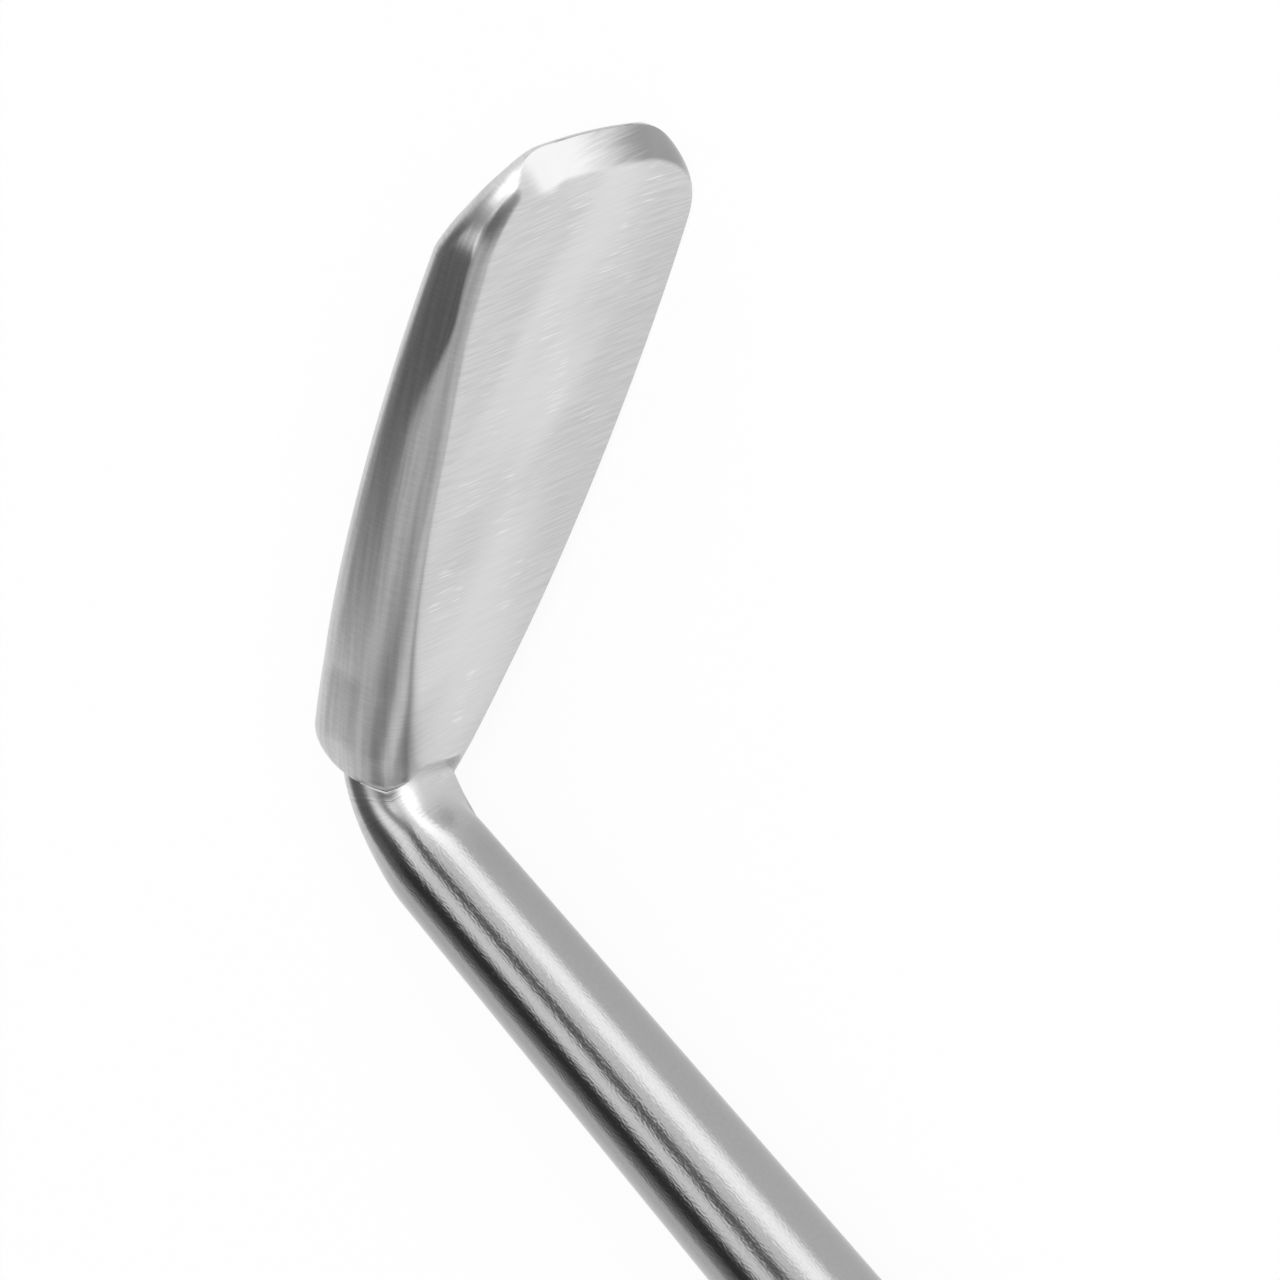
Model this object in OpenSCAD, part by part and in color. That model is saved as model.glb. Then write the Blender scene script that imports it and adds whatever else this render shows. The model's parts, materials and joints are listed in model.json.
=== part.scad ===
// Palate elevator, one steel forging: a round handle, a tapering shank, a bent neck and
// a flared paddle blade. It lies on its side, with the handle along X and the blade
// reaching towards -Y.

/* [Blade] */
// Length of the blade, from the crease at its base to the middle of its tip
blade_len = 20.6; // [16:0.1:28]
// Width of the blade at its widest, near the tip
blade_w = 10.3; // [8.6:0.1:13]
// Width of the blade at its base
base_w = 3.1; // [2.6:0.05:4.2]
// Length over which the blade flares from its base to its widest
flare_len = 17.5; // [12:0.5:26]
// Thickness of the blade at its heel
heel_t = 3.45; // [3:0.05:4.4]
// Thickness of the blade where its tip starts to thin
blade_t = 2.1; // [1.6:0.05:2.7]
// Thickness of the blade at its tip
tip_t = 1.0; // [0.8:0.05:1.3]
// Distance from the tip at which the back starts to thin
thin_len = 3.3; // [2:0.1:6]
// Length of the bevel ground on the front of the tip
bevel_len = 0.75; // [0.4:0.05:1.4]
// Depth of that bevel
bevel_t = 0.7; // [0.3:0.05:0.75]
// Radius of the tip's corners, seen from the front
tip_r = 3; // [1.6:0.1:3.8]
// How far the tip's edge falls back from its middle to its corners
tip_crown = 0.5; // [0:0.05:1.2]
// Radius of the long edges beside the flat front face, at the heel
front_r = 0.45; // [0.1:0.05:0.9]
// Radius of the long edges at the back
back_r = 0.8; // [0.3:0.05:1]
// Radius of the heel, where the back turns in to the neck
heel_r = 1.1; // [0.6:0.05:1.4]
// How far the side creases lie below the front crease
crease_drop = 0.56; // [0:0.02:0.8]

/* [Neck and shank] */
// Angle between the blade and the shank
bend_angle = 110.9; // [98:0.1:125]
// Width of the neck just below the crease
neck_w = 2.95; // [2.5:0.05:4]
// Length of the neck, from the crease to the round shank
neck_len = 2.2; // [1.7:0.1:4]
// Diameter of the shank at the neck
shank_d = 3.36; // [2.8:0.02:4.4]
// Length of the tapering shank
shank_len = 68; // [40:1:90]
// Diameter of the shank where it starts to swell into the handle
shank_end_d = 5.3; // [4.6:0.1:7]

/* [Handle] */
// Diameter of the handle
handle_d = 8.5; // [7.2:0.1:11]
// Length of the straight part of the handle
handle_len = 96; // [70:1:130]
// Length of the swell between shank and handle
swell_len = 14; // [8:0.5:24]
// Length of the domed end of the handle
dome_len = 3; // [1.5:0.1:4]

/* [Hidden] */
$fn = 96;
steel = "#b9bbbd";
// Points on each rounded corner of a section, and on half of each of its flats
corner_n = 6;
flat_n = 3;
// Stations along the blade's straight length, its tip's corners, its heel and its neck
blade_n = 20;
tip_n = 8;
heel_n = 5;
neck_n = 8;
// Share of the flare that is spent in the quick curve at the base, and its power
flare_share = 0.245;
flare_power = 6;
// Distance from the tip over which the sections take on the curve of its edge
crown_reach = 7;
// Distance from the crease over which the side creases come back level
drop_reach = 3;
// Tilt of the section at the crease, against the blade's own
crease_tilt = 11;
// Share of the neck's length by which the knee of its centre line lies before the shank
knee_share = 0.71;
// Largest corner radius of a blade section, as a share of its half thickness
corner_share = 0.8;
// Roundness of the neck at the crease and at the shank, as corner radius over half width
crease_round = 0.55;
shank_round = 0.97;
// Gap left all round between the neck's last section and the shank's skin
skin_gap = 0.04;
// Length of neck held inside the shank
root_len = 1.2;
// Segments of the swell and of the dome
swell_n = 16;
dome_n = 12;

handle_r = handle_d / 2;
shank_r = shank_d / 2;
straight_len = handle_len + swell_len + shank_len;
crease_t = heel_t - heel_r;
bevel_at = blade_len - bevel_len;

function mix(a, b, k) = a + (b - a) * k;
function clamp01(k) = min(1, max(0, k));

// Half width, front depth and back depth of the blade at the distance v from its crease
function flare(s) = flare_share * (1 - pow(1 - s, flare_power)) + (1 - flare_share) * sin(90 * s);
function corner_cut(x) = x > 0 ? tip_r - sqrt(max(0, tip_r * tip_r - x * x)) : 0;
function half_width(v) =
    mix(base_w, blade_w, flare(clamp01(v / flare_len))) / 2 - corner_cut(v - blade_len + tip_r);
function front_z(v) = bevel_t * clamp01((v - bevel_at) / bevel_len);
function heel_cut(v) = v < heel_r ? heel_r - sqrt(heel_r * heel_r - pow(heel_r - v, 2)) : 0;
function back_z(v) =
    let (thin_at = blade_len - thin_len)
    (v < thin_at ? mix(heel_t, blade_t, v / thin_at) : mix(blade_t, tip_t, (v - thin_at) / thin_len))
    - heel_cut(v);

// One half of a section, from the middle of its front to the middle of its back, as
// [across, depth, share of the way round the front corner]
function half_ring(b, z0, z1, rf, rb) = concat(
    [for (i = [0:flat_n - 1]) [(b - rf) * (2 * i + 1) / (2 * flat_n + 1), z0, 0]],
    [for (i = [0:corner_n]) let (q = 90 * i / corner_n)
        [b - rf + rf * sin(q), z0 + rf - rf * cos(q), i / corner_n]],
    [for (i = [0:corner_n]) let (q = 90 * i / corner_n)
        [b - rb + rb * cos(q), z1 - rb + rb * sin(q), 1]],
    [for (i = [flat_n - 1:-1:0]) [(b - rb) * (2 * i + 1) / (2 * flat_n + 1), z1, 1]]
);
function ring(b, z0, z1, rf, rb) =
    let (half = half_ring(b, z0, z1, rf, rb), n = len(half))
    concat(half, [for (i = [n - 1:-1:0]) [-half[i].x, half[i].y, half[i].z]]);

// How far a point at the distance x from the middle falls back, as the tip comes near
function crown(x, v) =
    tip_crown * pow(2 * x / blade_w, 2) * pow(clamp01(1 - (blade_len - v) / crown_reach), 2);

// A blade section as [along, across, depth]
function blade_ring(v) =
    let (
        b = half_width(v),
        z0 = front_z(v),
        z1 = back_z(v),
        half_t = (z1 - z0) / 2,
        rf = min(front_r * z1 / heel_t, half_t * corner_share),
        rb = min(back_r, half_t * corner_share),
        drop = crease_drop * clamp01((drop_reach - v) / (drop_reach - heel_r))
    )
    [for (p = ring(b, z0, z1, rf, rb)) [v - crown(p.x, v) - drop * p.z, p.x, p.y]];

// The neck's centre line: a curve from the crease to the shank's axis, in [along, depth]
shank_dir = [cos(bend_angle), -sin(bend_angle)];
outward = [-sin(bend_angle), -cos(bend_angle)];
neck_start = [-crease_drop / 2, crease_t / 2];
neck_end = neck_len * shank_dir + shank_r * outward;
neck_knee = neck_end - knee_share * neck_len * shank_dir;
function neck_mid(k) =
    (1 - k) * (1 - k) * neck_start + 2 * k * (1 - k) * neck_knee + k * k * neck_end;
function neck_tilt(k) = mix(crease_tilt, 180 - bend_angle, 1 - (1 - k) * (1 - k));

// A section of the neck at the share k of its length
function neck_ring(k, mid) =
    let (
        b = mix(neck_w / 2, shank_r - skin_gap, k),
        h = mix(crease_t / 2, shank_r - skin_gap, k),
        r = min(b, h) * mix(crease_round, shank_round, k),
        q = neck_tilt(k)
    )
    [for (p = ring(b, -h, h, r, r)) [mid.x - p.y * sin(q), p.x, mid.y + p.y * cos(q)]];

// Every section from the tip to the root inside the shank
heel_at = [for (i = [heel_n:-1:0]) heel_r * (1 - cos(90 * i / heel_n))];
corner_at = blade_len - tip_r;
body_at = [for (i = [blade_n:-1:1]) mix(heel_r, corner_at, i / blade_n)];
tip_at = [for (i = [tip_n:-1:1]) corner_at + tip_r * sin(90 * i / tip_n)];
rings = concat(
    [for (v = concat(tip_at, body_at, heel_at)) blade_ring(v)],
    [for (i = [0:neck_n]) neck_ring(i / neck_n, neck_mid(i / neck_n))],
    [neck_ring(1, neck_end + root_len * shank_dir)]
);

// From [along, across, depth] at the crease to the frame of the shank, whose axis is X
// and whose origin is the end of the handle
crease_x = straight_len + neck_len;
function to_shank(p) = [
    crease_x - p.x * cos(bend_angle) + p.z * sin(bend_angle),
    -shank_r - p.x * sin(bend_angle) - p.z * cos(bend_angle),
    -p.y
];
skin = [for (r = rings) [for (p = r) to_shank(p)]];

// Lying on its side, it rolls about the shank until the blade's lower edge touches too
wide_y = shank_r + min(flare_len, corner_at) * sin(bend_angle) + (blade_t - back_r) * cos(bend_angle);
roll = asin(handle_r / norm([wide_y, blade_w / 2])) - atan2(blade_w / 2, wide_y);
function rolled(p) = [p.x, p.y * cos(roll) - p.z * sin(roll), p.y * sin(roll) + p.z * cos(roll)];
lying = [for (r = skin) for (p = r) rolled(p)];
lift = max(handle_r, -min([for (p = lying) p.z]));
mid_x = (max([for (p = lying) p.x]) - dome_len) / 2;
mid_y = (min([for (p = lying) p.y]) + handle_r) / 2;

// Closes a section of n points, from the index at: its front points are joined to the back
// points behind them, across the middle and then out along each half
function cap(at, n) =
    let (
        h = n / 2,
        right = [for (j = [0:h / 2 - 2]) [h - 1 - j, h - 2 - j, j + 1, j]],
        left = [for (j = [0:h / 2 - 2]) [n - 1 - j, n - 2 - j, h + j + 1, h + j]]
    )
    [for (quad = concat([[n - 1, h, h - 1, 0]], right, left)) [for (k = quad) at + k]];
function halves(quads) = [for (q = quads) for (f = [[q[0], q[1], q[2]], [q[0], q[2], q[3]]]) f];
function turned(faces) = [for (f = faces) [f[2], f[1], f[0]]];

// Skin over the sections, closed at both ends
module working_end() {
    n = len(skin[0]);
    m = len(skin);
    points = [for (r = skin) for (p = r) p];
    sides = [for (i = [0:m - 2]) for (j = [0:n - 1])
        let (a = i * n + j, b = i * n + (j + 1) % n) [a, b, b + n, a + n]];
    faces = concat(halves(sides), halves(cap(0, n)), turned(halves(cap((m - 1) * n, n))));
    polyhedron(points = points, faces = faces, convexity = 4);
}

// Half outline of the shank and handle, as [distance from the handle's end, radius]
function swell(k) = (1 - cos(180 * k)) / 2;
outline = concat(
    [[straight_len, 0], [straight_len, shank_r]],
    [for (i = [0:swell_n]) let (k = i / swell_n)
        [handle_len + swell_len * (1 - k), mix(shank_end_d / 2, handle_r, swell(k))]],
    [for (i = [0:dome_n]) let (q = 90 * i / dome_n) [-dome_len * sin(q), handle_r * cos(q)]]
);
module shank_and_handle() {
    rotate([0, 90, 0]) rotate_extrude() polygon([for (p = outline) [p.y, p.x]]);
}

module palate_elevator() {
    color(steel)
    translate([-mid_x, -mid_y, lift])
    rotate([roll, 0, 0])
    union() {
        working_end();
        shank_and_handle();
    }
}

palate_elevator();
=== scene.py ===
"""Looks of a palate elevator: one forging of stainless steel with a cross-ground paddle blade,
a bent neck, a linished shank and a satin handle, lying on its side on a white table."""
import json
import math

import bpy
import numpy as np
from mathutils import Matrix, Vector


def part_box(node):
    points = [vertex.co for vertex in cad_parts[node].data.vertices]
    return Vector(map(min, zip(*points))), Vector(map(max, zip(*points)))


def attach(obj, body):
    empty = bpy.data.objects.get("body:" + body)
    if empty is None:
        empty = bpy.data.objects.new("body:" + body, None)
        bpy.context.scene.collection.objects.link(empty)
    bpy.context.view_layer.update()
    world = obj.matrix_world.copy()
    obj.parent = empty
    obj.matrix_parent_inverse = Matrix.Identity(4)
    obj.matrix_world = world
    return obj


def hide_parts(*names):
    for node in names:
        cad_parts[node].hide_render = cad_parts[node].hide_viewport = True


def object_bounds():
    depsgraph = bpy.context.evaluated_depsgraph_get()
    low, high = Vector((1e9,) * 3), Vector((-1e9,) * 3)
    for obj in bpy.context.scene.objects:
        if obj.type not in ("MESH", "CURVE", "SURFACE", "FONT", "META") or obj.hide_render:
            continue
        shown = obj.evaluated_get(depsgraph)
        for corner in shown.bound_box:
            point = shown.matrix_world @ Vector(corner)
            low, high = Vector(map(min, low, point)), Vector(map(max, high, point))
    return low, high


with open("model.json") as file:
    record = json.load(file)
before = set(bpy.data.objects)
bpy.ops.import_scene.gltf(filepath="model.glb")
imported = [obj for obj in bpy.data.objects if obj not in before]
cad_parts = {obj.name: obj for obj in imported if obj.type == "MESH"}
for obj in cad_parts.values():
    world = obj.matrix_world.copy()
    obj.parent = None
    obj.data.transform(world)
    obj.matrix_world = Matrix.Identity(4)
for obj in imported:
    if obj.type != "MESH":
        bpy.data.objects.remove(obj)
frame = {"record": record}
NODE = "palate_elevator"
cad_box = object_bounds()
low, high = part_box(NODE)
grip = next(m for m in frame["record"]["mounts"] if m["name"] == "handle")

# Sizes of the real thing, in metres
MM = 0.001
BLADE_LEN = 20.6 * MM
BLADE_W = 10.3 * MM
BASE_W = 3.1 * MM
FLARE_LEN = 17.5 * MM
HEEL_T = 3.45 * MM
BLADE_T = 2.1 * MM
TIP_T = 1.0 * MM
THIN_LEN = 3.3 * MM
TIP_R = 3.0 * MM
TIP_CROWN = 0.5 * MM
RIM_R = 0.12 * MM
FRONT_R = 0.4 * MM
HEEL_FRONT_R = 1.7 * MM
SIDE_R = 2.3 * MM
BACK_R = 0.8 * MM
HEEL_R = 1.1 * MM
CREASE_DROP = 0.56 * MM
NECK_W = 2.95 * MM
NECK_LEN = 2.2 * MM
SHANK_D = 3.36 * MM
SHANK_LEN = 68 * MM
SHANK_END_D = 5.3 * MM
SWELL_LEN = 14 * MM
DOME_LEN = 3 * MM
HANDLE_R = grip["dims"]["r_mm"] * MM
HANDLE_LEN = grip["dims"]["length_mm"] * MM
# The handle's skin stays this far inside its stated radius, so that it keeps within the solid
HAIR = 0.002 * MM
BEND = math.radians(110.9)

# How the forms run into each other, as in the part's source
FLARE_SHARE = 0.245
FLARE_POWER = 6
CROWN_REACH = 7 * MM
DROP_REACH = 3 * MM
CREASE_TILT = math.radians(11)
KNEE_SHARE = 0.71
CORNER_SHARE = 0.8
# The upper front edge: it softens towards the heel over ROLL_REACH, turns with its own radius
# as far as SPLIT, and its side is crowned as far up the blade as SIDE_STOPS
ROLL_REACH = 4 * MM
SPLIT = math.radians(58)
SIDE_FADES = 11 * MM
SIDE_STOPS = 16 * MM
# The front edge at the tip, on the blade's upper side and on its lower side: how wide it is, its
# share of the thickness, and how round it is (1 for a flat bevel, 2 for a quarter ellipse). The
# bevel goes over into each side between two angles round the tip's corner. The plain sides run
# into this edge over SWEEP_REACH.
EDGE_LEN = (0.95 * MM, 0.45 * MM, 0.24 * MM)
EDGE_SHARE = (0.7, 0.25, 0.12)
EDGE_ROUND = (1.1, 1.9, 2.0)
UPPER_TURN = (math.radians(6), math.radians(44))
LOWER_TURN = (math.radians(10), math.radians(85))
SWEEP_REACH = 3 * MM
# How much bigger the edge gets halfway round the upper corner
CORNER_SWELL = 0.6
# The groove where the front face ends at the crease, and the share of the neck over which the
# crease's outline dies away
GROOVE_LEN = 0.45 * MM
GROOVE_T = 0.22 * MM
CREASE_FADE = 0.7

# Points round a section: on each half of a flat, and on a rounded corner
FLAT_N = 26
ROLL_N = 12
CROWN_N = 8
CORNER_N = 12
# Stations along the length
TIP_N = 36
BLADE_N = 90
HEEL_N = 14
NECK_N = 56
SHANK_N = 40
SWELL_N = 24
HANDLE_N = 8
DOME_N = 18


def mix(a, b, k):
    return a + (b - a) * k


def clamp01(k):
    return np.clip(k, 0.0, 1.0)


def fall(r, d):
    """Sagitta of a circle of radius r at the distance d from its top."""
    return r - np.sqrt(np.maximum(0.0, r * r - d * d))


def flare_width(v):
    """Half width at v from the crease, before the tip's corners: a quick curve off the base plus
    a quarter sine to the widest."""
    s = clamp01(v / FLARE_LEN)
    share = FLARE_SHARE * (1 - (1 - s) ** FLARE_POWER) + (1 - FLARE_SHARE) * np.sin(s * np.pi / 2)
    return mix(BASE_W, BLADE_W, share) / 2


def half_width(v):
    """Half width at v, less the sagitta of the tip's corner radius."""
    return flare_width(v) - fall(TIP_R, np.maximum(0.0, v - BLADE_LEN + TIP_R))


def back_depth(v):
    """Depth of the back: two straight tapers, less the sagitta of the heel's radius."""
    thin_at = BLADE_LEN - THIN_LEN
    body = mix(HEEL_T, BLADE_T, v / thin_at)
    thin = mix(BLADE_T, TIP_T, (v - thin_at) / THIN_LEN)
    return np.where(v < thin_at, body, thin) - fall(HEEL_R, np.maximum(0.0, HEEL_R - v))


def smooth(k):
    """Smooth step from 0 to 1 while k does."""
    k = clamp01(k)
    return k * k * (3 - 2 * k)


def edge_form(v, x):
    """Depth that the front edge takes off the front at [v, x], and the share of a bevel's finish
    there. The edge follows the tip's outline, a straight edge with a quarter circle at each
    corner, and goes over from a bevel at the tip to a rounding on the sides as the outline turns.
    Its form is a quarter of a superellipse in the distance from the outline."""
    beyond_v = np.maximum(0.0, v - BLADE_LEN + TIP_R)
    beyond_x = np.maximum(0.0, np.abs(x) - flare_width(v) + TIP_R)
    round_corner = np.arctan2(beyond_x, beyond_v)
    starts, ends = (np.where(x < 0, a, b) for a, b in zip(UPPER_TURN, LOWER_TURN))
    turned = smooth((round_corner - starts) / (ends - starts))
    width, share, power = (mix(e[0], np.where(x < 0, e[1], e[2]), turned) for e in (EDGE_LEN, EDGE_SHARE, EDGE_ROUND))
    swell = 1 + CORNER_SWELL * np.sin(2 * round_corner) * (x < 0)
    near = clamp01(1 - (TIP_R - np.hypot(beyond_v, beyond_x)) / (width * swell))
    depth = share * swell * back_depth(v) * (1 - (1 - near ** power) ** (1 / power))
    return depth, smooth(near * 3) * (1 - turned)


def half_section(b, z0, z1, roll_r, crown_r, back_r):
    """Right half of a blade section, from the middle of the front to that of the back: across
    runs to b and depth from z0 to z1. The front rolls off with the radius roll_r as far as
    SPLIT, the side goes on with the flatter crown_r until it stands square, and the back edge
    has back_r. Also gives the share of the way round the front edge. One value a station."""
    b, z0, z1, roll_r, crown_r, back_r = (np.asarray(x, float)[:, None] for x in (b, z0, z1, roll_r, crown_r, back_r))
    f = (2 * np.arange(FLAT_N) + 1) / (2 * FLAT_N + 1)
    roll, crown = np.linspace(0, SPLIT, ROLL_N + 1), np.linspace(SPLIT, np.pi / 2, CROWN_N + 1)[1:]
    q = np.linspace(0, np.pi / 2, CORNER_N + 1)
    flat_b = b - crown_r * (1 - math.sin(SPLIT)) - roll_r * math.sin(SPLIT)
    square_z = z0 + roll_r * (1 - math.cos(SPLIT)) + crown_r * math.cos(SPLIT)
    across = [flat_b * f, flat_b + roll_r * np.sin(roll), b - crown_r * (1 - np.sin(crown)),
              b - back_r * (1 - np.cos(q)), (b - back_r) * f[::-1]]
    depth = [z0 + 0 * f, z0 + roll_r * (1 - np.cos(roll)), square_z - crown_r * np.cos(crown),
             z1 - back_r * (1 - np.sin(q)), z1 + 0 * f]
    share = np.concatenate([0 * f, roll / SPLIT, 1 + 0 * crown, 1 + 0 * q, 1 + 0 * f])
    return np.concatenate(across, 1), np.concatenate(depth, 1), share


def blade_rings(v):
    """Blade sections at the stations v, as [along, across, depth], and two shares: of the way
    round the front edge, and of the bevel. Each is a rounded rectangle whose points fall back by
    the square of their place across, as the tip comes near, and whose sides drop away from the
    crease over the last of the heel. Its front dips into a groove at the crease. The ring runs
    from the back's middle over the upper side to the front's, and back by the lower side."""
    rim = fall(RIM_R, np.maximum(0.0, v - BLADE_LEN + RIM_R))
    b = half_width(v)
    z1 = back_depth(v) - rim
    full_r = FRONT_R + (HEEL_FRONT_R - FRONT_R) * np.exp(-v / ROLL_REACH)
    fade = smooth((v - SIDE_FADES) / (SIDE_STOPS - SIDE_FADES))
    swept = smooth((v - BLADE_LEN + TIP_R) / SWEEP_REACH + 1)
    front_n = FLAT_N + ROLL_N + 1 + CROWN_N
    along = v[:, None]
    halves = []
    for sign, roll_r, crown_r in ((-1, full_r, mix(SIDE_R, full_r, fade)), (1, FRONT_R * z1 / HEEL_T, 0)):
        edge_z = edge_form(v, sign * b)[0] * swept
        back_r = np.minimum(BACK_R, CORNER_SHARE * (z1 - rim - edge_z))
        roll_r = np.minimum(roll_r, CORNER_SHARE * z1 / 2)
        room = CORNER_SHARE * (z1 - back_r - roll_r * (1 - math.cos(SPLIT))) / math.cos(SPLIT)
        crown_r = np.maximum(roll_r, np.minimum(crown_r, room))
        x, z, share = half_section(b - rim, 0 * v, z1, roll_r, crown_r, back_r)
        edge, finish = edge_form(along, sign * x[:, :front_n])
        z[:, :front_n] = mix(z[:, :front_n], edge, swept[:, None]) + rim[:, None]
        z += GROOVE_T * smooth(1 - along / GROOVE_LEN) * (1 - share) * (z < z1[:, None] / 2)
        bevel = np.concatenate([finish, np.zeros((len(v), x.shape[1] - front_n))], 1)
        halves.append((x, z, np.broadcast_to(share, z.shape), bevel))
    (ux, uz, us, ub), (lx, lz, ls, lb) = halves
    x, z = np.concatenate([-ux[:, ::-1], lx], 1), np.concatenate([uz[:, ::-1], lz], 1)
    share, bevel = np.concatenate([us[:, ::-1], ls], 1), np.concatenate([ub[:, ::-1], lb], 1)
    crown = TIP_CROWN * (2 * x / BLADE_W) ** 2 * clamp01(1 - (BLADE_LEN - along) / CROWN_REACH) ** 2
    drop = CREASE_DROP * clamp01((DROP_REACH - along) / (DROP_REACH - HEEL_R)) * share
    return np.stack([along - crown - drop, x, z], -1), share, bevel


def tilted_rings(middle, tilt, x, z):
    """Sections laid across a path: each has its middle [along, depth] and turns by tilt."""
    return np.stack([middle[:, :1] - z * np.sin(tilt), x, middle[:, 1:] + z * np.cos(tilt)], -1)


SHANK_R = SHANK_D / 2
CREASE_T = HEEL_T - HEEL_R
SHANK_DIR = np.array([math.cos(BEND), -math.sin(BEND)])
OUTWARD = np.array([-math.sin(BEND), -math.cos(BEND)])
NECK_END = NECK_LEN * SHANK_DIR + SHANK_R * OUTWARD


def neck_rings(k, crease, angle):
    """Neck sections at the shares k of its length. Their middle goes along a quadratic curve
    from the crease to the shank's axis, each point goes straight from its place in the blade's
    last section to its angle on the shank's circle, and what is left between the crease and a
    plane section dies away."""
    start = np.array([-CREASE_DROP / 2, CREASE_T / 2])
    knee = NECK_END - KNEE_SHARE * NECK_LEN * SHANK_DIR
    k = k[:, None]
    middle = (1 - k) ** 2 * start + 2 * k * (1 - k) * knee + k * k * NECK_END
    tilt = mix(CREASE_TILT, math.pi - BEND, 1 - (1 - k) ** 2)
    x = mix(crease[:, 1] * NECK_W / BASE_W, SHANK_R * np.sin(angle), smooth(k))
    z = mix(crease[:, 2] - CREASE_T / 2, SHANK_R * np.cos(angle), smooth(k))
    rings = tilted_rings(middle, tilt, x, z)
    return rings + (crease - rings[0]) * (1 - smooth(k / CREASE_FADE))[..., None]


def turned_rings(at, radius, angle):
    """Circles of the given radii across the shank's axis, at distances from the neck's end."""
    middle = NECK_END + at[:, None] * SHANK_DIR
    return tilted_rings(middle, math.pi - BEND, radius[:, None] * np.sin(angle), radius[:, None] * np.cos(angle))


def lying(points):
    """[along the blade, across it, depth behind its face] to the frame: the shank's axis goes
    along X, the whole rolls about it until the blade's lower edge touches the table, and the
    handle's axis goes where its mount is."""
    v, u, z = np.moveaxis(points, -1, 0)
    straight = HANDLE_LEN + SWELL_LEN + SHANK_LEN
    x = straight + NECK_LEN - v * math.cos(BEND) + z * math.sin(BEND)
    y = -SHANK_R - v * math.sin(BEND) - z * math.cos(BEND)
    edge_v = min(FLARE_LEN, BLADE_LEN - TIP_R)
    wide_y = SHANK_R + edge_v * math.sin(BEND) + (BLADE_T - BACK_R) * math.cos(BEND)
    roll = math.asin(HANDLE_R / math.hypot(wide_y, BLADE_W / 2)) - math.atan2(BLADE_W / 2, wide_y)
    c, s = math.cos(roll), math.sin(roll)
    place = np.array([low.x + DOME_LEN, grip["pos_m"][1], grip["pos_m"][2]])
    return np.stack([x, y * c + u * s, y * s - u * c], -1) + place


# Stations, from the tip to the handle's end
tip_v = BLADE_LEN - TIP_R * (1 - np.sin(np.linspace(1, 0, TIP_N + 1) * np.pi / 2))
rim_v = BLADE_LEN - RIM_R * (1 - np.cos(np.linspace(0, 1, 7) * np.pi / 2))
bevel_v = BLADE_LEN - EDGE_LEN[0] + np.linspace(-0.06, 0.24, 9) * MM
body_v = np.linspace(BLADE_LEN - TIP_R, HEEL_R, BLADE_N + 1)
heel_v = HEEL_R * (1 - np.cos(np.linspace(1, 0, HEEL_N + 1) * np.pi / 2))
groove_v = np.linspace(0, GROOVE_LEN, 9)
blade_v = np.unique(np.round(np.concatenate([tip_v, rim_v, bevel_v, body_v, heel_v, groove_v]), 8))[::-1]
neck_k = np.linspace(0, 1, NECK_N + 1) ** 1.5
shank_at = np.linspace(0, SHANK_LEN, SHANK_N + 1)[1:]
swell_k = np.linspace(0, 1, SWELL_N + 1)[1:]
handle_at = np.linspace(0, HANDLE_LEN, HANDLE_N + 1)[1:]
dome_q = np.linspace(0, np.pi / 2, DOME_N + 1)[1:-1]

blade_part, blade_share, blade_bevel = blade_rings(blade_v)
crease = blade_part[-1]
ring_n = len(crease)
circle_angle = np.arctan2(crease[:, 1] * NECK_W / BASE_W, crease[:, 2] - CREASE_T / 2)
neck_part = neck_rings(neck_k, crease, circle_angle)[1:]
along_axis = np.concatenate([
    shank_at,
    SHANK_LEN + SWELL_LEN * swell_k,
    SHANK_LEN + SWELL_LEN + handle_at,
    SHANK_LEN + SWELL_LEN + HANDLE_LEN + DOME_LEN * np.sin(dome_q),
])
skin_r = HANDLE_R - HAIR
radii = np.concatenate([
    mix(SHANK_R, SHANK_END_D / 2, shank_at / SHANK_LEN),
    mix(SHANK_END_D / 2, skin_r, (1 - np.cos(np.pi * swell_k)) / 2),
    np.full(HANDLE_N, skin_r),
    skin_r * np.cos(dome_q),
])
turned_part = turned_rings(along_axis, radii, circle_angle)
pole = turned_rings(along_axis[-1:] * 0 + along_axis[-1] + DOME_LEN * (1 - math.sin(dome_q[-1])), np.zeros(1), circle_angle)[0, 0]


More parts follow.
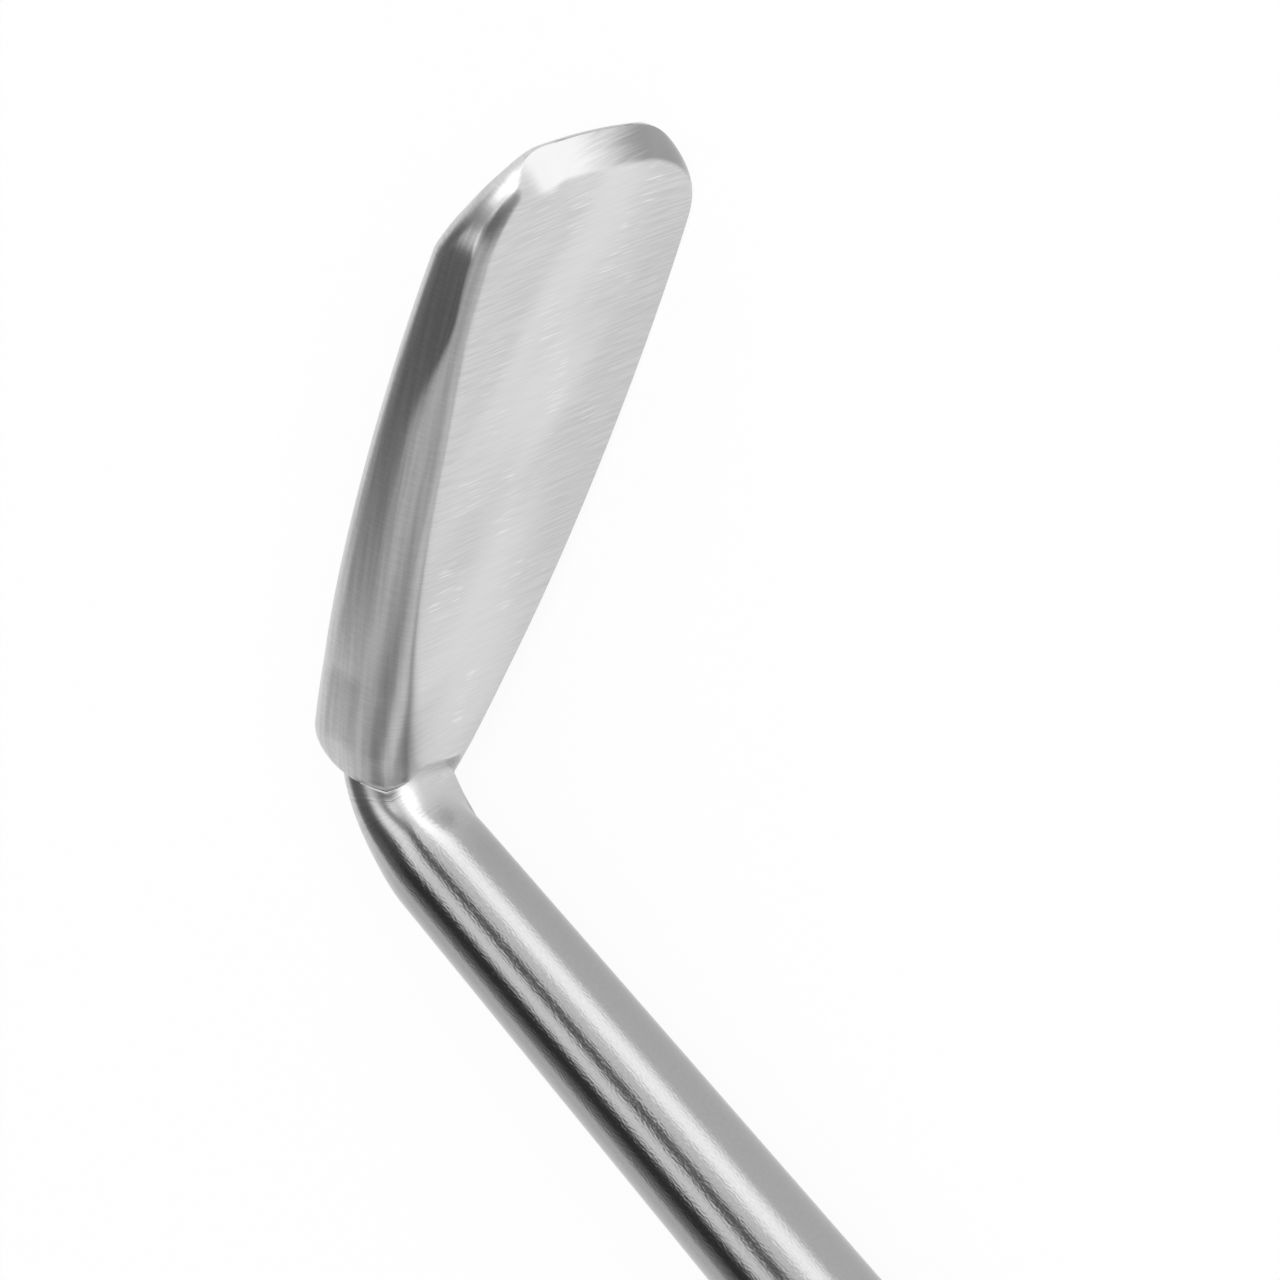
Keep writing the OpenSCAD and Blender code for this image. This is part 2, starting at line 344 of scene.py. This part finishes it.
def skin_mesh(name, rings, pole):
    """One closed skin over the rings: quads between neighbouring rings, strips across the first
    ring and a fan from the last one to the pole. Its map holds true lengths in metres: round the
    section from the front's middle, and along the middle line."""
    rows, n = rings.shape[:2]
    index = np.arange(rows * n).reshape(rows, n)
    nxt = np.roll(index, -1, 1)
    sides = np.stack([index[:-1], index[1:], nxt[1:], nxt[:-1]], -1).reshape(-1, 4)
    j = np.arange(n // 2 - 1)
    cap = np.stack([j, j + 1, n - 2 - j, n - 1 - j], -1)
    fan = np.stack([index[-1], np.full(n, rows * n), nxt[-1]], -1)
    points = np.concatenate([lying(rings).reshape(-1, 3), lying(pole[None])])
    mesh = bpy.data.meshes.new(name)
    mesh.from_pydata(points.tolist(), [], cap.tolist() + sides.tolist() + fan.tolist())
    step = np.linalg.norm(np.roll(rings, -1, 1) - rings, axis=-1)
    around = np.concatenate([np.zeros((rows, 1)), np.cumsum(step, 1)], 1)
    around -= around[:, n // 2 - 1:n // 2] + step[:, n // 2 - 1:n // 2] / 2
    middle = rings.mean(1)
    along = np.concatenate([[0.0], np.cumsum(np.linalg.norm(np.diff(middle, axis=0), axis=-1))])
    grid = np.stack([around, np.broadcast_to(along[:, None], around.shape)], -1)
    sides_uv = np.stack([grid[:-1, :-1], grid[1:, :-1], grid[1:, 1:], grid[:-1, 1:]], 2)
    cap_uv = grid[0][cap]
    tip = np.broadcast_to(np.array([0.0, along[-1] + DOME_LEN]), (n, 2))
    fan_uv = np.stack([grid[-1, :-1], tip, grid[-1, 1:]], 1)
    layer = mesh.uv_layers.new(name="ground_mm")
    flat = np.concatenate([a.reshape(-1, 2) for a in (cap_uv, sides_uv, fan_uv)]) / MM
    layer.data.foreach_set("uv", flat.ravel())
    mesh.shade_smooth()
    return mesh, along


rings = np.concatenate([blade_part, neck_part, turned_part])
mesh, along = skin_mesh("steel_skin", rings, pole)


def point_values(mesh, name, rows, pole_value):
    """Keeps one number a point on the mesh, given as rows of the grid, with the pole's last."""
    values = np.append(rows.ravel(), pole_value).astype(np.float32)
    mesh.attributes.new(name, "FLOAT", "POINT").data.foreach_set("value", values)


# How much each point belongs to the blade's side and to its bevel
plain_rows = len(rings) - len(blade_part)
point_values(mesh, "side", np.concatenate([blade_share, np.zeros((plain_rows, ring_n))]), 0)
point_values(mesh, "depth_mm", rings[..., 2] / MM, 0)
point_values(mesh, "bevel", np.concatenate([blade_bevel, np.zeros((plain_rows, ring_n))]), 0)


def face_materials(mesh, counts):
    """Gives each run of faces its finish, in order, by number of faces."""
    index = np.repeat(np.arange(len(counts)), counts)
    mesh.polygons.foreach_set("material_index", index.astype(np.int32))


def linear(hex_colour):
    """sRGB hex to linear RGBA."""
    c = np.array([int(hex_colour[i:i + 2], 16) for i in (1, 3, 5)]) / 255
    return tuple(np.where(c <= 0.04045, c / 12.92, ((c + 0.055) / 1.055) ** 2.4)) + (1.0,)


def add(tree, kind, settings=None, **links):
    """Adds a node, sets its properties and sockets, and links sockets given as other nodes'
    outputs. A socket is named by its name, or by in0, in1 for its place."""
    node = tree.nodes.new(kind)
    for key, value in (settings or {}).items():
        setattr(node, key, value)
    for key, value in links.items():
        socket = node.inputs[int(key[2:])] if key[:2] == "in" and key[2:].isdigit() else node.inputs[key.replace("_", " ")]
        if isinstance(value, bpy.types.NodeSocket):
            tree.links.new(value, socket)
        else:
            socket.default_value = value
    return node


def start_material(name):
    """A material with an empty tree, its output, and its map in mm with U round the section and
    V along from the tip."""
    material = bpy.data.materials.new(name)
    material.use_nodes = True
    tree = material.node_tree
    tree.nodes.clear()
    out = add(tree, "ShaderNodeOutputMaterial")
    return material, tree, out, add(tree, "ShaderNodeUVMap", {"uv_map": "ground_mm"}).outputs[0]


def lines(tree, place, mark_mm, turn=0.0, detail=2.0, shift=0.0):
    """Noise drawn out into marks of a given size in mm, round and along the section, which lie
    at an angle to going straight round."""
    at = add(tree, "ShaderNodeMapping", {"vector_type": "TEXTURE"}, Vector=place, Location=(shift, 0, 0),
             Rotation=(0, 0, turn), Scale=(*mark_mm, 1))
    return add(tree, "ShaderNodeTexNoise", {"noise_dimensions": "2D"}, Vector=at.outputs[0], Scale=1.0,
               Detail=detail).outputs[0]


def ramp(tree, value, low, high, to_low=0.0, to_high=1.0):
    """Smooth step of a value between low and high."""
    return add(tree, "ShaderNodeMapRange", {"interpolation_type": "SMOOTHSTEP"}, Value=value, From_Min=low, From_Max=high,
               To_Min=to_low, To_Max=to_high).outputs[0]


def blend(tree, share, first, second):
    """Mix of two colours, each a socket or a linear colour."""
    return add(tree, "ShaderNodeMix", {"data_type": "RGBA"}, in0=share, in6=first, in7=second).outputs[2]


# The lines across the blade lean a little towards the tip. The blade's finish runs out into the
# shank's between two distances in mm from the tip, within the first rows of the shank.
LINE_TURN = math.radians(-6.5)
RUN_OUT_ROWS = 3
neck_end_mm = along[len(blade_part) - 1 + NECK_N] / MM
RUN_OUT_FROM = neck_end_mm - 3.4
RUN_OUT_TO = neck_end_mm + 0.8
SWELL_FROM = neck_end_mm + SHANK_LEN / MM
SHANK_ROUGH = 0.09
SHANK_BUMP = 0.27
BUMP_DEPTH = 0.02 * MM


def shank_marks(tree, uv):
    """Short marks drawn lengthwise, under a tenth of a millimetre wide, and the tone they give."""
    marks = lines(tree, uv, (0.06, 0.15))
    return marks, blend(tree, marks, linear("#a1a1a1"), linear("#adadad"))


def ground_blade_steel():
    """Stainless steel ground across on a fine belt: fine lines run across the blade's face, with short
    bright dashes painted along them as painted glints and a painted sheen lighter towards the face's middle;
    its sides carry lines lengthwise; the bevel is finished finer, and its colour is a painted reflection, bright at its
    upper end and greyer towards its lower one."""
    material, tree, out, uv = start_material("cross_ground_stainless_steel")
    side = add(tree, "ShaderNodeAttribute", {"attribute_name": "side"}).outputs["Fac"]
    bevel = add(tree, "ShaderNodeAttribute", {"attribute_name": "bevel"}).outputs["Fac"]
    depth = add(tree, "ShaderNodeAttribute", {"attribute_name": "depth_mm"}).outputs["Fac"]
    part = add(tree, "ShaderNodeSeparateXYZ", {}, Vector=uv).outputs
    flank_uv = add(tree, "ShaderNodeCombineXYZ", {}, X=depth, Y=part["Y"]).outputs[0]
    run_out = ramp(tree, part["Y"], RUN_OUT_FROM, RUN_OUT_TO)
    marks, shank_tone = shank_marks(tree, uv)
    fine = lines(tree, uv, (2.2, 0.075), LINE_TURN)
    long = lines(tree, flank_uv, (0.16, 3.4), shift=3.0)
    cross = lines(tree, flank_uv, (0.5, 0.07), shift=1.0, detail=1.0)
    cloud = lines(tree, uv, (2.6, 6.0), turn=0.4, detail=1.0)
    # Painted glints: short bright dashes painted into the face's colour along the fine lines, in patches, and mostly
    # within the face's middle band
    dash = ramp(tree, lines(tree, uv, (1.3, 0.06), LINE_TURN, detail=0.0, shift=7.0), 0.68, 0.8)
    patch = ramp(tree, lines(tree, uv, (1.6, 2.6), detail=0.0, shift=4.6), 0.5, 0.68)
    within = ramp(tree, add(tree, "ShaderNodeMath", {"operation": "ABSOLUTE"}, in0=part["X"]).outputs[0], 2.2, 3.8, 1.0, 0.15)
    patchy = add(tree, "ShaderNodeMath", {"operation": "MULTIPLY"}, in0=dash, in1=patch).outputs[0]
    painted_glints = add(tree, "ShaderNodeMath", {"operation": "MULTIPLY"}, in0=patchy, in1=within).outputs[0]
    ground = blend(tree, ramp(tree, fine, 0.25, 0.75), linear("#c9c9c9"), linear("#d7d7d7"))
    # Painted sheen: the face's colour is painted lighter towards its middle, with a cloudy noise breaking up where the
    # lighter part ends
    across = add(tree, "ShaderNodeMath", {"operation": "ABSOLUTE"}, in0=part["X"]).outputs[0]
    middle = add(tree, "ShaderNodeMath", {"operation": "MULTIPLY_ADD"}, in0=cloud, in1=5.0, in2=across).outputs[0]
    face_with_painted_sheen = blend(tree, ramp(tree, middle, 2.0, 6.0, 0.7, 0.0), ground, linear("#e5e5e5"))
    face_with_painted_glints = blend(tree, painted_glints, face_with_painted_sheen, linear("#ededed"))
    streaks = blend(tree, ramp(tree, long, 0.3, 0.7), linear("#c5c5c5"), linear("#d2d2d2"))
    flank = blend(tree, ramp(tree, cross, 0.35, 0.75, 0.0, 0.18), streaks, linear("#f0f0f0"))
    sided = blend(tree, side, face_with_painted_glints, flank)
    # Painted reflection on the bevel: its colour is painted bright at its upper end and grey towards its lower end, the
    # grey a painted shade, with the fine lines ruffling the change
    painted_bevel_shade_ramp = add(tree, "ShaderNodeMath", {"operation": "MULTIPLY_ADD"}, in0=fine, in1=1.6, in2=part["X"]).outputs[0]
    painted_bevel_reflection = blend(tree, ramp(tree, painted_bevel_shade_ramp, -0.8, 3.0), linear("#f8f8f8"), linear("#989898"))
    tone = blend(tree, ramp(tree, bevel, 0.0, 0.7), sided, painted_bevel_reflection)
    joined = blend(tree, run_out, tone, shank_tone)
    ground_height = add(tree, "ShaderNodeMix", {"data_type": "FLOAT"}, in0=side, in2=fine, in3=long).outputs[0]
    height = add(tree, "ShaderNodeMix", {"data_type": "FLOAT"}, in0=run_out, in2=ground_height, in3=marks).outputs[0]
    strength = ramp(tree, part["Y"], RUN_OUT_FROM, RUN_OUT_TO, 0.2, SHANK_BUMP)
    normal = add(tree, "ShaderNodeBump", {}, Height=height, Strength=strength, Distance=BUMP_DEPTH).outputs[0]
    ground_rough = ramp(tree, bevel, 0.0, 0.8, 0.28, 0.18)
    rough = add(tree, "ShaderNodeMix", {"data_type": "FLOAT"}, in0=run_out, in2=ground_rough, in3=SHANK_ROUGH).outputs[0]
    shader = add(tree, "ShaderNodeBsdfPrincipled", {}, Base_Color=joined, Metallic=1.0, Roughness=rough, Normal=normal)
    tree.links.new(shader.outputs[0], out.inputs[0])
    return material


def linished_steel():
    """Stainless steel linished on a worn belt: nearly bright, so it mirrors the room in stripes,
    and its short marks fray the edges of the stripes."""
    material, tree, out, uv = start_material("linished_stainless_steel")
    marks, tone = shank_marks(tree, uv)
    normal = add(tree, "ShaderNodeBump", {}, Height=marks, Strength=SHANK_BUMP, Distance=BUMP_DEPTH).outputs[0]
    shader = add(tree, "ShaderNodeBsdfPrincipled", {}, Base_Color=tone, Metallic=1.0, Roughness=SHANK_ROUGH, Normal=normal)
    tree.links.new(shader.outputs[0], out.inputs[0])
    return material


def satin_steel():
    """Stainless steel brushed lengthwise with fine emery: a soft sheen with faint long lines,
    which comes up gradually out of the linished finish over the swell."""
    material, tree, out, uv = start_material("satin_stainless_steel")
    along_v = add(tree, "ShaderNodeSeparateXYZ", {}, Vector=uv).outputs["Y"]
    comes_up = ramp(tree, along_v, SWELL_FROM, SWELL_FROM + SWELL_LEN / MM)
    short, shank_tone = shank_marks(tree, uv)
    long = lines(tree, uv, (0.14, 6.5), detail=3.0)
    height = add(tree, "ShaderNodeMix", {"data_type": "FLOAT"}, in0=comes_up, in2=short, in3=long).outputs[0]
    strength = ramp(tree, along_v, SWELL_FROM, SWELL_FROM + SWELL_LEN / MM, SHANK_BUMP, 0.3)
    brushed = blend(tree, long, linear("#bebebe"), linear("#cacaca"))
    tone = blend(tree, comes_up, shank_tone, brushed)
    rough = ramp(tree, along_v, SWELL_FROM, SWELL_FROM + SWELL_LEN / MM, SHANK_ROUGH, 0.3)
    normal = add(tree, "ShaderNodeBump", {}, Height=height, Strength=strength, Distance=BUMP_DEPTH).outputs[0]
    shader = add(tree, "ShaderNodeBsdfPrincipled", {}, Base_Color=tone, Metallic=1.0, Roughness=rough, Normal=normal)
    tree.links.new(shader.outputs[0], out.inputs[0])
    return material


# Runs of rows: blade, neck and run-out, then the shank, then the swell and the handle
counts = [ring_n // 2 - 1 + ring_n * (len(blade_part) - 1 + NECK_N + RUN_OUT_ROWS),
          ring_n * (SHANK_N - RUN_OUT_ROWS),
          ring_n * (SWELL_N + HANDLE_N + DOME_N)]
face_materials(mesh, counts)
mesh.materials.append(ground_blade_steel())
mesh.materials.append(linished_steel())
mesh.materials.append(satin_steel())
skin = bpy.data.objects.new("steel_skin", mesh)
bpy.context.scene.collection.objects.link(skin)
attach(skin, "root")
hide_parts(NODE)


# Camera, where the photograph was taken from
CAMERA_AZIMUTH = math.radians(-119.65)
CAMERA_ELEVATION = math.radians(55.79)
CAMERA_ROLL = math.radians(-105.57)
CAMERA_DISTANCE = 219.2 * MM
PIXELS_PER_MM = 34.0
IMAGE_SIZE = 1280
SENSOR = 36.0
CREASE_TO_CENTRE = (6.2 * MM, 3.98 * MM)


def add_camera():
    """Looks at the middle of the picture, which lies right of and above the crease's middle."""
    back = Vector((math.cos(CAMERA_ELEVATION) * math.cos(CAMERA_AZIMUTH),
                   math.cos(CAMERA_ELEVATION) * math.sin(CAMERA_AZIMUTH), math.sin(CAMERA_ELEVATION)))
    level = Vector((0, 0, 1)).cross(back).normalized()
    upright = back.cross(level)
    right = level * math.cos(CAMERA_ROLL) + upright * math.sin(CAMERA_ROLL)
    up = back.cross(right)
    crease = Vector(lying(np.zeros((1, 3)))[0])
    data = bpy.data.cameras.new("camera")
    data.sensor_width = SENSOR
    data.lens = SENSOR * PIXELS_PER_MM * CAMERA_DISTANCE / MM / IMAGE_SIZE
    data.clip_start = 1 * MM
    camera = bpy.data.objects.new("camera", data)
    bpy.context.scene.collection.objects.link(camera)
    camera.matrix_world = Matrix((right, up, back)).transposed().to_4x4()
    camera.location = crease + right * CREASE_TO_CENTRE[0] + up * CREASE_TO_CENTRE[1] + back * CAMERA_DISTANCE
    bpy.context.scene.camera = camera


add_camera()


def add_floor():
    """A white table. The camera and the metal see it a little lifted towards white, and its
    shadow stays."""
    half = 0.8
    mesh = bpy.data.meshes.new("table")
    z = cad_box[0][2]
    mesh.from_pydata([(-half, -half, z), (half, -half, z), (half, half, z), (-half, half, z)], [], [(0, 1, 2, 3)])
    table = bpy.data.objects.new("table", mesh)
    bpy.context.scene.collection.objects.link(table)
    material = bpy.data.materials.new("matt_white_laminate")
    material.use_nodes = True
    tree = material.node_tree
    tree.nodes.clear()
    out = add(tree, "ShaderNodeOutputMaterial")
    path = add(tree, "ShaderNodeLightPath").outputs
    matt = add(tree, "ShaderNodeBsdfDiffuse", {}, Color=linear("#f2f2f2"))
    white = add(tree, "ShaderNodeEmission", {}, Color=(1, 1, 1, 1), Strength=1.0)
    seen = add(tree, "ShaderNodeMath", {"operation": "MULTIPLY"}, in0=path["Is Camera Ray"], in1=0.92)
    mirrored = add(tree, "ShaderNodeMath", {"operation": "MULTIPLY_ADD"}, in0=path["Is Glossy Ray"], in1=0.2, in2=seen.outputs[0])
    through = add(tree, "ShaderNodeMath", {"operation": "MULTIPLY_ADD"}, in0=path["Is Transmission Ray"], in1=0.2, in2=mirrored.outputs[0])
    blend = add(tree, "ShaderNodeMixShader", {}, in0=through.outputs[0], in1=matt.outputs[0], in2=white.outputs[0])
    tree.links.new(blend.outputs[0], out.inputs[0])
    mesh.materials.append(material)


add_floor()

# Patches of the surroundings that the metal mirrors: azimuth and elevation of the middle, radius
# of the even part and of the soft edge, all in degrees, and brightness
PATCHES = (
    (93, 36, 16, 39, 0.66),
    (39, 39, 13, 52, 0.15),
    (67, 50, 5, 16, 0.06),
    (46, 53, 2, 9, 0.1),
    (130, 35, 2, 12, 0.38),
    (176, 9, 12, 37, 0.69),
    (-134, 33, 6, 22, 0.16),
    (-45, 68, 7, 16, 0.22),
    (-139, 2, 10, 25, 0.19),
    (-35, -4, 9, 31, 1.33),
    (-42, 20, 10, 25, 1.9),
    (120, 22, 2, 17, 0.2),
    (-107, 53, 17, 24, 0.12),
    (-74, 23, 2, 25, 2.1),
    (-66, 49, 5, 14, 1.2),
    (14, 71, 6, 18, 1.35),
    (70, 8, 2, 20, 0.9),
    (-125, 2, 6, 16, 0.5),
)
CEILING = 0.55


def add_world():
    """White all round at table height, grey overhead, with soft patches of light and dark."""
    world = bpy.data.worlds.new("studio")
    bpy.context.scene.world = world
    world.use_nodes = True
    tree = world.node_tree
    tree.nodes.clear()
    out = add(tree, "ShaderNodeOutputWorld")
    path = add(tree, "ShaderNodeLightPath").outputs
    way = add(tree, "ShaderNodeTexCoord").outputs["Generated"]
    height = add(tree, "ShaderNodeSeparateXYZ", {}, Vector=way).outputs["Z"]
    level = add(tree, "ShaderNodeMapRange", {"interpolation_type": "SMOOTHSTEP"}, Value=height, From_Min=0.02,
                From_Max=0.3, To_Min=1.0, To_Max=CEILING).outputs[0]
    for azimuth, elevation, even_part, edge, strength in PATCHES:
        a, e = math.radians(azimuth), math.radians(elevation)
        middle = (math.cos(e) * math.cos(a), math.cos(e) * math.sin(a), math.sin(e))
        near = add(tree, "ShaderNodeVectorMath", {"operation": "DOT_PRODUCT"}, in0=way, in1=middle).outputs["Value"]
        cover = add(tree, "ShaderNodeMapRange", {"interpolation_type": "SMOOTHSTEP"}, Value=near,
                    From_Min=math.cos(math.radians(edge)), From_Max=math.cos(math.radians(even_part)))
        level = add(tree, "ShaderNodeMix", {"data_type": "FLOAT"}, in0=cover.outputs[0], in2=level, in3=strength).outputs[0]
    level = add(tree, "ShaderNodeMix", {"data_type": "FLOAT"}, in0=path["Is Camera Ray"], in2=level, in3=1.0).outputs[0]
    light = add(tree, "ShaderNodeBackground", {}, Color=(1, 1, 1, 1), Strength=level)
    tree.links.new(light.outputs[0], out.inputs[0])


add_world()


def add_lamp(name, azimuth, elevation, distance, size, power):
    data = bpy.data.lights.new(name, "AREA")
    data.shape = "DISK"
    data.size = size
    data.energy = power
    lamp = bpy.data.objects.new(name, data)
    bpy.context.scene.collection.objects.link(lamp)
    a, e = math.radians(azimuth), math.radians(elevation)
    way = Vector((math.cos(e) * math.cos(a), math.cos(e) * math.sin(a), math.sin(e)))
    lamp.location = way * distance
    lamp.rotation_euler = way.to_track_quat("Z", "Y").to_euler()
    lamp.visible_glossy = False
    return lamp


add_lamp("window_softbox", -100, 58, 0.7, 0.45, 3.4)

bpy.context.scene.view_settings.view_transform = "Standard"
